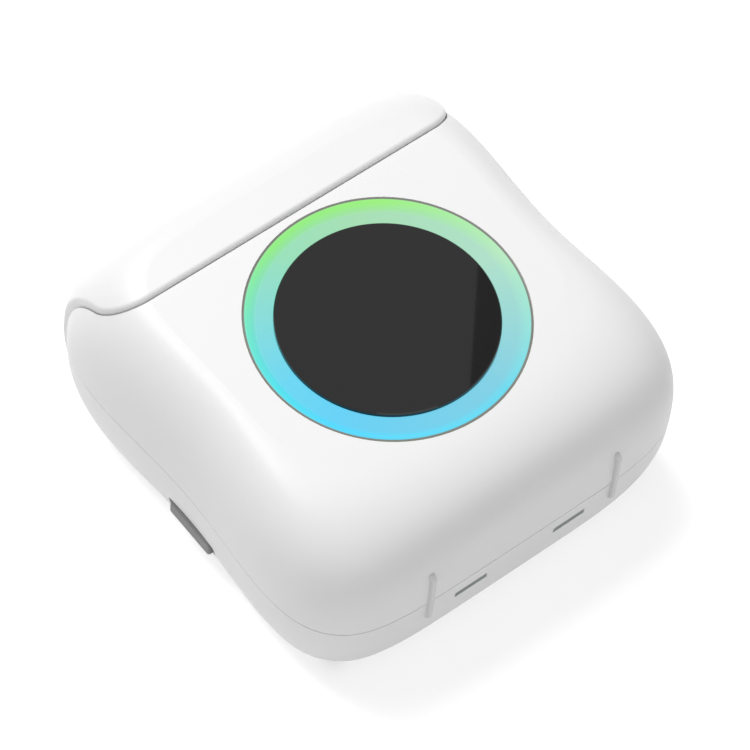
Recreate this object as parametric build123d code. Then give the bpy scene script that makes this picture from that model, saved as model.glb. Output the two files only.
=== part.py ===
from build123d import *
import math
import os

# A mini sticker printer lying on its back. The hinged paper cover is at the +Y end, the light ring
# faces up, the power key is on the -X side and the charging socket on the +X side.
# The origin is at the middle of the underside. Lengths are in millimetres, angles in degrees.

os.makedirs("parts", exist_ok=True)

# Casing
BODY_WIDTH = 85.3            # seam outline, before the sides draw in at the waist
BODY_FRONT = 42.75           # from the origin to the foot end
BODY_BACK = 42.65            # from the origin to the cover end
BODY_HEIGHT = 39.6
SEAM_HEIGHT = 18.3
WALL = 1.8
FLOOR = 1.8
OUTLINE_POWER = 5.5          # squareness of the seam outline
FLAT_POWER = 5.4             # squareness of the flat top and bottom outlines
WAIST_DEPTH = 1.85
WAIST_Y = -1.9
WAIST_SPAN = 19.5
FLAT_INSET_SIDE = 10.9       # from the seam outline in to the flat top, each way
FLAT_INSET_FRONT = 22.5
FLAT_INSET_BACK = 11.9
SHOULDER_POWER_SIDE = 2.05   # fullness of the shoulder, each way
SHOULDER_POWER_FRONT = 3.7
SHOULDER_POWER_BACK = 2.0
BASE_INSET = 6.4
BASE_POWER = 2.05
OUTLINE_POINTS = 48
SHOULDER_STEPS = 9
SEAM_GROOVE_HEIGHT = 0.2
SEAM_GROOVE_DEPTH = 0.4
FIT_GAP = 0.2                # between edges that meet when the casing is put together

# Paper cover
COVER_EDGE_Y = 23.05         # middle of the straight seam
COVER_HALF_WIDTH = 37.3
COVER_CORNER_RADIUS = 6.5
COVER_PROUD = 0.8
COVER_GAP = 0.25
COVER_LIP_RADIUS = 0.8
COVER_RUN_OUT = 20.0         # how far the cutting block runs past the end
HINGE_INSET = 3.85           # from the cover end to the hinge axis
HINGE_Z = 7.5
HINGE_BARREL_RADIUS = 3.0
HINGE_BARREL_HALF = 26.0
HINGE_PIN_RADIUS = 1.0
HINGE_PIN_DEPTH = 6.0        # how far a pin reaches into the barrel
HINGE_LUG_RADIUS = 2.2
HINGE_LUG_WIDTH = 3.6
HINGE_LUG_GAP = 0.3
HINGE_RELIEF_HALF = 35.0
HINGE_SWEEP = 4.1            # room round the axis for the foot of the cover
LINER_WALL = 1.2
LINER_GEAR_GAP = 0.6
FLANGE_HALF = 29.4
FLANGE_WALL = 1.0
TEAR_THICKNESS = 0.4
TEAR_PITCH = 1.0
TEAR_DEPTH = 0.6
TEAR_END = 0.4               # plain steel left at each end of the teeth
TEAR_TOP_DEPTH = 1.3         # from the top of the casing to the teeth
CARRIER_GAP = 0.4            # from the side plate to the carrier's arm
CARRIER_WALL = 1.1
CARRIER_TOP_DEPTH = 2.1      # from the top of the casing to the carrier
CARRIER_ARM = 1.2            # width of the arm round its bush
CARRIER_SCREWS = [-19.0, 0.0, 19.0]
CARRIER_SCREW_Y = 31.6
CARRIER_ROOF_GAP = 0.3       # from the carrier up to the cover
SCREW_SKIN = 0.4             # left between a blind hole and the outside

# Light ring and window
RING_RADIUS = 24.6
RING_MARGIN = 1.8            # from the straight seam to the ring
RING_FLANGE_REACH = 1.3
RING_FLANGE_THICKNESS = 0.6
RING_FLANGE_GAP = 0.1
RING_EDGE_DROP = 0.1
RING_RIM = 0.35
RING_RIM_FLAT = 0.15
RING_SLOPE_WIDTH = 1.45
RING_DISH_DEPTH = 1.0
RING_DISH_RISE = 0.3         # from the foot of the slope up to the window
RING_BAND = 5.1              # from the window out to the edge of the ring
RING_GAP = 0.3
WINDOW_THICKNESS = 1.6
WINDOW_GAP = 0.12
WINDOW_CHAMFER = 0.2
LAMP_COUNT = 9
LAMP_OFFSET = 2.1            # from the window out to the middle of the lamps
LAMP_SIZE = 1.8
LAMP_HEIGHT = 0.8
LAMP_ARC_START = 142.0
LAMP_ARC_END = 398.0
LIGHT_BOARD_INSET = 1.6      # from the edge of the ring in to the board
LIGHT_BOARD_THICKNESS = 1.0
LIGHT_BOARD_DEPTH = 4.6      # from the top of the casing to the board's upper face
LIGHT_BOARD_ROOM = 1.2       # from the board's straight edge to the spring wall
RING_POST_RADIUS = 1.7
RING_POST_INSET = 2.0
RING_POST_BORE = 0.2         # how far a post's hole goes up into the flange
RING_POST_ANGLES = (30, 150, 210, 330)

# Paper roll and its bay
ROLL_RADIUS = 12.0
ROLL_WIDTH = 57.0
ROLL_BACK_ROOM = 5.0         # from the roll to the hinge barrel
TROUGH_RISE = 0.6            # from the floor to the trough
CORE_RADIUS = 6.4
CORE_WALL = 1.1
BAY_CLEARANCE = 0.8
BAY_WALL = 1.2
BAY_ARC_START = 165.0
BAY_ARC_END = 305.0
PLATE_WALL = 1.4
PLATE_FOOT = 9.0             # height of the side plate's sloping back edge
PLATE_SLOPE = 2.0            # how far that edge leans back
PLATE_STEP = 4.0             # height of the spring wall's end on the plain side
PLATE_CLEARANCE = 0.7        # between the roll's end and the side plate
SENSOR_X = 15.0
SENSOR_WIDTH = 4.0
SENSOR_HEIGHT = 3.0
SENSOR_STEP = 1.4            # how far the sensor stands out of the trough

# Platen and print head
PLATEN_RADIUS = 4.0
PLATEN_SHAFT_RADIUS = 1.5
PLATEN_ROOM = 0.5            # from the platen up to the carrier
NIP_Y = 22.65
BUSH_RADIUS = 2.2
BUSH_STEP = 0.3              # how far a bush stands out of its side plate
RUNNING_CLEARANCE = 0.03
NOTCH_CLEARANCE = 0.3
NOTCH_REACH = 16.0
NOTCH_FLARE = 2.4
HEAD_GAP = 0.1
CERAMIC_THICKNESS = 0.8
CERAMIC_HEIGHT = 5.8
CERAMIC_INSET = 1.0
HEAD_PLATE_THICKNESS = 1.6
HEAD_PLATE_HEIGHT = 7.9
HEAD_PLATE_INSET = 0.1
HEAD_TOP_DEPTH = 2.8         # from the top of the casing to the head's upper edge
HEAD_PIVOT_DROP = 0.8
HEAD_PIN_RADIUS = 0.7
HEAD_PIN_CLEARANCE = 0.05
SPRING_X = 20.0
SPRING_RADIUS = 1.5
SPRING_WIRE = 0.2
SPRING_PITCH = 0.75
SPRING_GAP = 0.4
SPRING_WALL_Y = 14.7
SPRING_WALL = 1.2
SPRING_WALL_GAP = 0.6        # from the roll up to the wall
FLEX_WIDTH = 20.0
FLEX_THICKNESS = 0.25
FLEX_BEND = 2.0
FLEX_Y = 1.6
FLEX_RISE = 0.2              # above the platen axis
FLEX_SLOT_GAP = 0.8          # at each end of the slot that the cable passes
FLEX_SLOT_HALF = 1.2

# Gears
GEAR_MODULE = 0.5
PRESSURE_ANGLE = 25.0
ADDENDUM = 0.75              # in modules
DEDENDUM = 1.0               # in modules
BACKLASH = 0.08
PLATEN_TEETH = 16
IDLER_TEETH = 20
REDUCER_SMALL_TEETH = 20
REDUCER_LARGE_TEETH = 30
PINION_TEETH = 12
REDUCER_DIRECTION = 183.0    # from the idler
PINION_DIRECTION = 187.5     # from the reduction gear
INNER_GEAR_GAP = 0.3         # from the side plate to the inner gear plane
INNER_GEAR_WIDTH = 1.3
OUTER_GEAR_GAP = 1.8
OUTER_GEAR_WIDTH = 1.6
SHAFT_END = 0.2              # how far the platen shaft stands out of its gear
AXLE_RADIUS = 0.8
AXLE_CLEARANCE = 0.05
AXLE_END = 0.8
CLIP_GAP = 0.15
CLIP_THICKNESS = 0.4

# Motor
MOTOR_RADIUS = 7.5
MOTOR_LENGTH = 11.0
MOTOR_SHAFT_RADIUS = 0.75
MOTOR_EAR_REACH = 9.3
MOTOR_EAR_RADIUS = 2.0
MOTOR_FLANGE = 0.8
MOTOR_COLLAR_RADIUS = 2.4
MOTOR_COLLAR_HEIGHT = 0.8
MOTOR_SHAFT_FREE = 0.2       # room behind the shaft inside the can

# Electronics
BOARD_Z = 5.0
BOARD_THICKNESS = 1.2
BOARD_EDGE_GAP = 3.0         # from the inner side wall to the board's edge
BOARD_FRONT_Y = -30.5
BOARD_BACK_Y = 3.5
BOARD_BOSS_RADIUS = 2.0
BOARD_SCREWS = [(30.0, -27.5), (27.0, 0.8)]
BOARD_SCREW_LENGTH = 3.5
SOCKET_WIDTH = 8.94
SOCKET_HEIGHT = 3.26
SOCKET_LENGTH = 7.35
SOCKET_SHELL = 0.3
SOCKET_BACK = 0.8
SOCKET_INSET = 0.4           # from the outer wall to the mouth
SOCKET_TONGUE_HALF = 3.3
SOCKET_TONGUE_THICKNESS = 0.7
SOCKET_TONGUE_INSET = 1.2
SOCKET_Y = -2.5
SOCKET_GAP = 0.3
CORNER_EASE = 0.05           # keeps the ends of a rounded slot from closing to a point
KEY_Y = -2.5
KEY_LENGTH = 11.4
KEY_HEIGHT = 3.2
KEY_CORNER_RADIUS = 0.6
KEY_EDGE_RADIUS = 0.4
KEY_Z = 8.0
KEY_PROUD = 0.85
KEY_TRAVEL = 0.4
KEY_CLEARANCE = 0.15
KEY_END_GAP = 0.8            # from the key's end to the end of its window
KEY_FLANGE = 1.0
KEY_FLANGE_RIM = 0.6         # how far the flange reaches past the window
KEY_FLANGE_GAP = 1.1         # from the inner wall to the flange
KEY_STEM_RADIUS = 1.4
PLUNGER_RADIUS = 0.8
PLUNGER_GAP = 0.1
PLUNGER_DEPTH = 1.0          # how far the plunger reaches into the switch
SWITCH_SIZE = 3.4
SWITCH_INSET = 0.3
BATTERY_LENGTH = 50.0
BATTERY_WIDTH = 24.0
BATTERY_HEIGHT = 8.0
BATTERY_FRONT_Y = -33.5
BATTERY_EDGE_RADIUS = 1.2
BATTERY_FOLD = 2.4           # length of the folded end
BATTERY_FOLD_INSET = 1.5
BATTERY_FOLD_BOTTOM = 0.8    # from the underside of the cell
BATTERY_FOLD_TOP = 5.2
BATTERY_GAP = 0.3
BATTERY_PAD = 0.5
BATTERY_PAD_INSET = 5.0
SHELF_Z = 10.6
SHELF_THICKNESS = 1.2
SHELF_LIP = 2.4
SHELF_LIP_LENGTH = 8.0
LEAD_RADIUS = 0.5
LEAD_PITCH = 1.3
LEAD_BEND = 2.0
MOTOR_LEAD_DROP = 4.0        # from the middle of the motor
BATTERY_LEAD_RISE = 3.2      # from the shelf
LEAD_STEP = 3.2              # from the plug's side of a part to the upright run
LIGHT_LEAD_X = -15.0
LIGHT_LEAD_Y = -7.5
LIGHT_LEAD_STEP = 3.0
LIGHT_LEAD_DROP = 6.0        # upright length before and along the slanting run
LIGHT_LEAD_BEND = 4.0
BATTERY_LEAD_Y = -14.0
BATTERY_LEAD_PITCH = 1.6
CONNECTOR_HEIGHT = 2.5
FLEX_CONNECTOR = (FLEX_WIDTH + 2.4, 2.8)
MOTOR_CONNECTOR = (3.4, 6.4)
LIGHT_CONNECTOR = (5.2, 3.4)
BATTERY_CONNECTOR = (3.4, 4.8)
WIRELESS_AT = (-18.0, -22.0)
WIRELESS_BOARD = (12.0, 15.0, 0.8)
WIRELESS_CAN = (10.0, 10.0, 1.4)
WIRELESS_CAN_SHIFT = 2.0     # from the middle of its board
CONTROLLER_AT = (6.0, -16.0)
CONTROLLER_SIZE = 8.0
CONTROLLER_HEIGHT = 1.0
CAPACITORS = [(16.5, -24.0), (21.5, -24.0)]
CAPACITOR_RADIUS = 2.0
CAPACITOR_HEIGHT = 4.0

# Fasteners
CASE_BOSS_RADIUS = 3.2
CASE_BOSSES = [(33.0, -34.0, 5.5), (34.4, 17.5, 3.3)]    # X, Y and rise above the seam
CASE_HEAD_DEPTH = 13.0
CASE_BOSS_RIB = 1.0          # half width of the rib from a boss to the wall
CASE_SCREW_GRIP = 2.0        # how far a screw holds in the part above it
CHASSIS_FRONT_SCREW = (22.0, -35.4)
CHASSIS_BACK_SCREW = (33.6, 29.0)
CHASSIS_FRONT_LENGTH = 5.0
CHASSIS_BACK_LENGTH = 3.8
CHASSIS_TIE = 3.0            # width of the ties and half width of the front tabs
CHASSIS_TIE_END = 1.5        # how far a tie runs past the front of the bay
LIGHT_SCREW_GRIP = 1.6
CARRIER_SCREW_GRIP = 1.4
SMALL_BOSS_RADIUS = 2.4
SCREW_HEAD_RADIUS = 1.7
SCREW_HEAD_HEIGHT = 1.1
SCREW_CROSS = (1.9, 0.4, 0.9)
SCREW_RADIUS = 0.9
HEAD_BORE_GAP = 0.25
SHANK_BORE_GAP = 0.2

# Standing feet and slots on the lower end
FOOT_X = 20.2
FOOT_WIDTH = 1.0
FOOT_BOTTOM = 13.2
FOOT_TOP = 27.6
FOOT_PROUD = 0.7
FOOT_SINK = 1.0              # how deep a foot is let into the wall
FOOT_CORNER_RADIUS = 1.4
FOOT_EDGE_RADIUS = 0.4
SLOT_X = 10.8
SLOT_LENGTH = 7.0
SLOT_HEIGHT = 1.5
SLOT_Z = 14.6
SLOT_WALL = 0.8              # wall left round a slot
SLOT_POCKET_RIM = 1.0

HALF_WIDTH = BODY_WIDTH / 2
PLATE_INNER = ROLL_WIDTH / 2 + PLATE_CLEARANCE
PLATE_OUTER = PLATE_INNER + PLATE_WALL
INNER_GEAR_X = PLATE_OUTER + INNER_GEAR_GAP
OUTER_GEAR_X = PLATE_OUTER + OUTER_GEAR_GAP
GEAR_END_X = OUTER_GEAR_X + OUTER_GEAR_WIDTH
HINGE_Y = BODY_BACK - HINGE_INSET
COVER_FRONT_Y = COVER_EDGE_Y + COVER_GAP / 2
CARRIER_X = PLATE_OUTER + CARRIER_GAP
CARRIER_TOP = BODY_HEIGHT - CARRIER_TOP_DEPTH
CARRIER_FRONT_Y = COVER_FRONT_Y + TEAR_THICKNESS + FLANGE_WALL + FIT_GAP
CARRIER_BACK_Y = CARRIER_SCREW_Y + SMALL_BOSS_RADIUS + FIT_GAP
FLANGE_BOTTOM = CARRIER_TOP - SHELF_THICKNESS
TEAR_TOP = BODY_HEIGHT - TEAR_TOP_DEPTH
RING_Y = COVER_EDGE_Y - RING_MARGIN - RING_RADIUS
RING_FLANGE_RADIUS = RING_RADIUS + RING_FLANGE_REACH
WINDOW_RADIUS = RING_RADIUS - RING_BAND
BAY_DEPTH = BAY_CLEARANCE + BAY_WALL
ROLL_Y = HINGE_Y - HINGE_BARREL_RADIUS - ROLL_BACK_ROOM - ROLL_RADIUS
ROLL_Z = FLOOR + TROUGH_RISE + BAY_DEPTH + ROLL_RADIUS
BAY_FRONT_Y = ROLL_Y - ROLL_RADIUS - BAY_DEPTH
PLATEN_Y = NIP_Y + PLATEN_RADIUS
PLATEN_Z = FLANGE_BOTTOM - PLATEN_ROOM - PLATEN_RADIUS
HEAD_FACE_Y = NIP_Y - HEAD_GAP
HEAD_BACK_Y = HEAD_FACE_Y - CERAMIC_THICKNESS - HEAD_PLATE_THICKNESS
HEAD_TOP = BODY_HEIGHT - HEAD_TOP_DEPTH
SPRING_WALL_BOTTOM = ROLL_Z + ROLL_RADIUS + SPRING_WALL_GAP
FLEX_Z = PLATEN_Z + FLEX_RISE
BAR = 200.0                  # longer than anything it cuts


def block(x0, x1, y0, y1, z0, z1):
    """A box between two corners."""
    middle = Pos((x0 + x1) / 2, (y0 + y1) / 2, (z0 + z1) / 2)
    return middle * Box(abs(x1 - x0), abs(y1 - y0), abs(z1 - z0))


def post(x, y, z0, z1, radius):
    """An upright round bar."""
    return Pos(x, y, (z0 + z1) / 2) * Cylinder(radius, z1 - z0)


def across(x0, x1, sketch):
    """A sketch drawn in Y and Z, made solid from x0 to x1."""
    return extrude(Plane.YZ.offset(x0) * sketch, amount=x1 - x0)


def rod(x0, x1, y, z, radius):
    """A round bar along X."""
    return across(x0, x1, Pos(y, z) * Circle(radius))


def both_sides(part):
    """The part and its mirror image across the middle plane."""
    return [part, mirror(part, about=Plane.YZ)]


def outline(inset_side, inset_front, inset_back, power, waist):
    """Points of a rounded square outline whose long sides draw in at the waist."""
    width = HALF_WIDTH - inset_side
    front = BODY_FRONT - inset_front
    back = BODY_BACK - inset_back
    centre_y = (back - front) / 2
    half_length = (back + front) / 2
    points = []
    for i in range(OUTLINE_POINTS):
        angle = 2 * math.pi * (i + 0.5) / OUTLINE_POINTS
        c, s = math.cos(angle), math.sin(angle)
        reach = (abs(c / width) ** power + abs(s / half_length) ** power) ** (-1 / power)
        y = centre_y + reach * s
        draw_in = waist / width * math.exp(-(((y - WAIST_Y) / WAIST_SPAN) ** 2))
        points.append((reach * c * (1 - draw_in), y))
    return points


def seam_outline(grow):
    """The outline at the seam, moved outwards by grow."""
    return outline(-grow, -grow, -grow, OUTLINE_POWER, WAIST_DEPTH)


def shoulder_powers():
    """How full the shoulder is in each direction round the outline."""
    powers = []
    for i in range(OUTLINE_POINTS):
        angle = 2 * math.pi * (i + 0.5) / OUTLINE_POINTS
        end_power = SHOULDER_POWER_BACK if math.sin(angle) > 0 else SHOULDER_POWER_FRONT
        share = math.sin(angle) ** 2
        powers.append(SHOULDER_POWER_SIDE * (1 - share) + end_power * share)
    return powers


def shoulder(start, end, start_z, end_z, powers):
    """A solid that rises straight from the start outline and rounds over onto the end outline."""
    wires = []
    for k in range(SHOULDER_STEPS):
        rise = math.sin(math.pi / 2 * k / (SHOULDER_STEPS - 1))
        points = []
        for (px, py), (qx, qy), power in zip(start, end, powers):
            share = 1 - max(0.0, 1 - rise ** power) ** (1 / power)
            z = start_z + (end_z - start_z) * rise
            points.append(Vector(px + (qx - px) * share, py + (qy - py) * share, z))
        wires.append(Wire([Edge.make_spline(points, periodic=True)]))
    if end_z < start_z:
        wires.reverse()
    return Part() + Solid.make_loft(wires)


def upper_form(grow, top_z):
    """The casing's form above the seam, grown by grow and ending at top_z."""
    flat = outline(FLAT_INSET_SIDE, FLAT_INSET_FRONT, FLAT_INSET_BACK, FLAT_POWER, WAIST_DEPTH / 2)
    return shoulder(seam_outline(grow), flat, SEAM_HEIGHT, top_z, shoulder_powers())


def lower_form(grow, bottom_z):
    """The casing's form below the seam."""
    flat = outline(BASE_INSET, BASE_INSET, BASE_INSET, FLAT_POWER, WAIST_DEPTH)
    return shoulder(seam_outline(grow), flat, SEAM_HEIGHT, bottom_z, [BASE_POWER] * OUTLINE_POINTS)


def level_form(grow, z0, z1):
    """The seam outline as an upright prism."""
    points = [Vector(x, y, z0) for x, y in seam_outline(grow)]
    wire = Wire([Edge.make_spline(points, periodic=True)])
    return extrude(Face(wire), amount=z1 - z0, dir=(0, 0, 1))


def cover_plan(grow, z0, z1):
    """The upright block that the cover is cut out of, grown by grow."""
    length = BODY_BACK - COVER_EDGE_Y + COVER_RUN_OUT
    width = 2 * (COVER_HALF_WIDTH + grow)
    plan = RectangleRounded(width, length + 2 * grow, COVER_CORNER_RADIUS + grow)
    middle = Pos(0, COVER_FRONT_Y + length / 2)
    return extrude(Plane.XY.offset(z0) * middle * plan, amount=z1 - z0)


def side_wall_x(z, grow):
    """Half width of the base at the waist, at height z."""
    fall = (SEAM_HEIGHT - z) / SEAM_HEIGHT
    share = 1 - (1 - fall ** BASE_POWER) ** (1 / BASE_POWER)
    return HALF_WIDTH + grow - WAIST_DEPTH - (BASE_INSET + grow) * share


def escape():
    """Unit direction in which the platen leaves its notch as the cover opens."""
    dy, dz = PLATEN_Y - HINGE_Y, PLATEN_Z - HINGE_Z
    reach = math.hypot(dy, dz)
    return dz / reach, -dy / reach


def pitch_radius(teeth):
    return GEAR_MODULE * teeth / 2


def step_from(centre, distance, degrees):
    """The point at a distance and direction from a centre, in Y and Z."""
    angle = math.radians(degrees)
    return centre[0] + distance * math.cos(angle), centre[1] + distance * math.sin(angle)


ESCAPE_Y, ESCAPE_Z = escape()
IDLER_DIRECTION = math.degrees(math.atan2(-ESCAPE_Z, -ESCAPE_Y))
PLATEN_AT = (PLATEN_Y, PLATEN_Z)
IDLER_AT = step_from(PLATEN_AT, pitch_radius(PLATEN_TEETH + IDLER_TEETH), IDLER_DIRECTION)
REDUCER_AT = step_from(IDLER_AT, pitch_radius(IDLER_TEETH + REDUCER_SMALL_TEETH), REDUCER_DIRECTION)
MOTOR_AT = step_from(REDUCER_AT, pitch_radius(REDUCER_LARGE_TEETH + PINION_TEETH), PINION_DIRECTION)
HEAD_PIVOT_Y = HEAD_BACK_Y + HEAD_PLATE_THICKNESS / 2
HEAD_PIVOT_Z = HEAD_TOP - HEAD_PIVOT_DROP
LIGHT_BOARD_TOP = BODY_HEIGHT - LIGHT_BOARD_DEPTH
BOARD_TOP = BOARD_Z + BOARD_THICKNESS
PLUG_TOP = BOARD_TOP + CONNECTOR_HEIGHT
SHELF_TOP = SHELF_Z + SHELF_THICKNESS
SOCKET_Z = BOARD_TOP + SOCKET_HEIGHT / 2
INNER_WALL_X = side_wall_x(KEY_Z, -WALL)
OUTER_WALL_X = side_wall_x(KEY_Z, 0)
BOARD_HALF = INNER_WALL_X - BOARD_EDGE_GAP
SHELF_HALF = BATTERY_LENGTH / 2 + BATTERY_GAP + SHELF_THICKNESS
SHELF_BACK_Y = BATTERY_FRONT_Y + BATTERY_WIDTH + BATTERY_GAP + SHELF_THICKNESS
PLUNGER_END_X = -BOARD_HALF - KEY_TRAVEL - PLUNGER_GAP


def meshed_phase(phase, teeth, follower_teeth, direction):
    """Tooth angle of a follower so that its gap meets the tooth of the gear it follows."""
    offset = (phase - direction) % (360 / teeth)
    return direction + 180 - offset * teeth / follower_teeth + 180 / follower_teeth


PLATEN_PHASE = 0.0
IDLER_PHASE = meshed_phase(PLATEN_PHASE, PLATEN_TEETH, IDLER_TEETH, IDLER_DIRECTION)
REDUCER_PHASE = meshed_phase(IDLER_PHASE, IDLER_TEETH, REDUCER_SMALL_TEETH, REDUCER_DIRECTION)
PINION_PHASE = meshed_phase(REDUCER_PHASE, REDUCER_LARGE_TEETH, PINION_TEETH, PINION_DIRECTION)


def gear_face(teeth, phase):
    """Outline of a stub-tooth gear with involute flanks."""
    pitch = pitch_radius(teeth)
    base = pitch * math.cos(math.radians(PRESSURE_ANGLE))
    tip = pitch + ADDENDUM * GEAR_MODULE
    root = pitch - DEDENDUM * GEAR_MODULE

    def involute(radius):
        pressure = math.acos(min(1.0, base / radius))
        return math.tan(pressure) - pressure

    half_at_pitch = math.pi / 2 / teeth - BACKLASH / 2 / pitch
    foot = max(base, root)
    flank = []
    for k in range(4):
        radius = foot + (tip - foot) * k / 3
        flank.append((radius, half_at_pitch + involute(pitch) - involute(radius)))
    if root < foot:
        flank.insert(0, (root, flank[0][1]))
    points = []
    for tooth in range(teeth):
        middle = math.radians(phase) + 2 * math.pi * tooth / teeth
        sides = [(r, middle - a) for r, a in flank] + [(r, middle + a) for r, a in reversed(flank)]
        points += [(r * math.cos(a), r * math.sin(a)) for r, a in sides]
    return make_face(Polyline(*points, close=True))


def gear(x0, width, centre, teeth, phase):
    """A gear with no bore, its teeth along X."""
    return across(x0, x0 + width, Pos(*centre) * gear_face(teeth, phase))


def screw(place, length):
    """A cross-head screw: its head's underside at the place, its shank along the place's -Z."""
    head = Pos(0, 0, SCREW_HEAD_HEIGHT / 2) * Cylinder(SCREW_HEAD_RADIUS, SCREW_HEAD_HEIGHT)
    slot = Pos(0, 0, SCREW_HEAD_HEIGHT) * Box(*SCREW_CROSS)
    shank = Pos(0, 0, -length / 2) * Cylinder(SCREW_RADIUS, length)
    return place * (head - slot - Rot(0, 0, 90) * slot + shank)


def facing(x, y, z, direction):
    """A place whose +Z points along direction."""
    return Location(Plane(origin=(x, y, z), z_dir=direction))


def standing_feet():
    """Two thin blades let into the wall, their outer edges straight and upright."""
    outer = -BODY_FRONT - FOOT_PROUD
    length = 4 * WALL
    middle = Pos(outer + length / 2, (FOOT_BOTTOM + FOOT_TOP) / 2)
    shape = middle * RectangleRounded(length, FOOT_TOP - FOOT_BOTTOM, FOOT_CORNER_RADIUS)
    blade = across(FOOT_X - FOOT_WIDTH / 2, FOOT_X + FOOT_WIDTH / 2, shape)
    sides = blade.faces().sort_by(Axis.X)
    blade = fillet(sides[0].edges() + sides[-1].edges(), FOOT_EDGE_RADIUS)
    blade -= upper_form(-FOOT_SINK, BODY_HEIGHT - FOOT_SINK)
    blade -= lower_form(-FOOT_SINK, FOOT_SINK)
    return both_sides(blade)


def seam_groove():
    """The thin shadow line between the two shells, all round."""
    top = SEAM_HEIGHT + SEAM_GROOVE_HEIGHT
    return level_form(1, SEAM_HEIGHT, top) - level_form(-SEAM_GROOVE_DEPTH, SEAM_HEIGHT, top)


def liner():
    """Thin walls that close the sides of the opening under the cover."""
    walls = cover_plan(COVER_GAP + LINER_WALL, FLOOR / 2, BODY_HEIGHT)
    walls -= cover_plan(COVER_GAP, 0, BODY_HEIGHT)
    start = GEAR_END_X + LINER_GEAR_GAP
    return walls - block(-start, start, 0, BAR, -1, BAR)


def upper_shell(feet):
    """The white upper half of the casing."""
    inside = upper_form(-WALL, BODY_HEIGHT - WALL) - liner()
    for x, y, rise in CASE_BOSSES:
        boss = post(x, y, SEAM_HEIGHT, SEAM_HEIGHT + rise, CASE_BOSS_RADIUS)
        rib = CASE_BOSS_RIB
        boss += block(x, HALF_WIDTH, y - rib, y + rib, SEAM_HEIGHT, SEAM_HEIGHT + rise)
        for each in both_sides(boss):
            inside -= each
    shell = upper_form(0, BODY_HEIGHT) - inside - cover_plan(COVER_GAP, 0, BAR)
    shell -= post(0, RING_Y, BODY_HEIGHT - 2 * WALL, BODY_HEIGHT + 1, RING_RADIUS + RING_GAP)
    seat_radius = RING_FLANGE_RADIUS + RING_FLANGE_GAP
    shell -= post(0, RING_Y, BODY_HEIGHT - 2 * WALL, BODY_HEIGHT - WALL, seat_radius)
    for x, y, rise in CASE_BOSSES:
        for side in (-1, 1):
            shell -= post(side * x, y, SEAM_HEIGHT - 1, SEAM_HEIGHT + rise - 1, SCREW_RADIUS)
    shell -= seam_groove()
    for each in feet:
        shell -= each
    return shell


def hinge_lug(side):
    """An ear of the base that holds a hinge pin."""
    x0 = side * (HINGE_BARREL_HALF + HINGE_LUG_GAP)
    x1 = x0 + side * HINGE_LUG_WIDTH
    lug = rod(min(x0, x1), max(x0, x1), HINGE_Y, HINGE_Z, HINGE_LUG_RADIUS)
    lug += block(x0, x1, HINGE_Y - HINGE_LUG_RADIUS, HINGE_Y, FLOOR / 2, HINGE_Z)
    return lug - rod(-BAR, BAR, HINGE_Y, HINGE_Z, HINGE_PIN_RADIUS)


def wall_slot(side):
    """A thin slot through the lower end, where a pocket inside leaves the wall thin."""
    outer = -BODY_FRONT
    half = SLOT_HEIGHT / 2
    slot = block(-SLOT_LENGTH / 2, SLOT_LENGTH / 2, outer - 2, outer + 2 * WALL, -half, half)
    long, high = SLOT_LENGTH / 2 + SLOT_POCKET_RIM, half + SLOT_POCKET_RIM
    slot += block(-long, long, outer + SLOT_WALL, outer + 2 * WALL, -high, high)
    return Pos(side * SLOT_X, 0, SLOT_Z) * slot


def base_shell(feet):
    """The white lower half of the casing, with the bosses and the hinge ears."""
    inside = lower_form(-WALL, FLOOR) - liner()
    posts = [(*CHASSIS_FRONT_SCREW, SHELF_Z, SMALL_BOSS_RADIUS)]
    posts.append((*CHASSIS_BACK_SCREW, BOARD_Z, SMALL_BOSS_RADIUS))
    posts += [(x, y, BOARD_Z, BOARD_BOSS_RADIUS) for x, y in BOARD_SCREWS]
    posts += [(x, y, SEAM_HEIGHT, CASE_BOSS_RADIUS) for x, y, rise in CASE_BOSSES]
    for x, y, top, radius in posts:
        for side in (-1, 1):
            inside -= post(side * x, y, 0, top, radius)
    shell = lower_form(0, 0) - inside - cover_plan(COVER_GAP, HINGE_Z - COVER_GAP, BAR)
    shell -= rod(-HINGE_RELIEF_HALF, HINGE_RELIEF_HALF, HINGE_Y, HINGE_Z, HINGE_SWEEP)
    sill = HINGE_Z - HINGE_SWEEP
    shell -= block(-HINGE_RELIEF_HALF, HINGE_RELIEF_HALF, HINGE_Y, BODY_BACK + 2, sill, HINGE_Z)
    for side in (-1, 1):
        for x, y, top, radius in posts:
            if top < SEAM_HEIGHT:
                shell -= post(side * x, y, FLOOR + SCREW_SKIN, top + 1, SCREW_RADIUS)
        for x, y, rise in CASE_BOSSES:
            shell -= post(side * x, y, -1, CASE_HEAD_DEPTH, SCREW_HEAD_RADIUS + HEAD_BORE_GAP)
            shell -= post(side * x, y, 0, BAR, SCREW_RADIUS + SHANK_BORE_GAP)
        shell += hinge_lug(side)
        shell -= wall_slot(side)
    shell -= wall_window(-1, Pos(KEY_Y, KEY_Z) * key_face(KEY_END_GAP, KEY_CLEARANCE))
    height = SOCKET_HEIGHT + 2 * SOCKET_GAP
    mouth = RectangleRounded(SOCKET_WIDTH + 2 * SOCKET_GAP, height, height / 2 - CORNER_EASE)
    shell -= wall_window(1, Pos(SOCKET_Y, SOCKET_Z) * mouth)
    for each in feet:
        shell -= each
    return shell


def wall_window(side, shape):
    """An opening through a side wall, its shape drawn in Y and Z."""
    x0, x1 = INNER_WALL_X - 2, OUTER_WALL_X + 2
    return across(x0, x1, shape) if side > 0 else across(-x1, -x0, shape)


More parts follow.
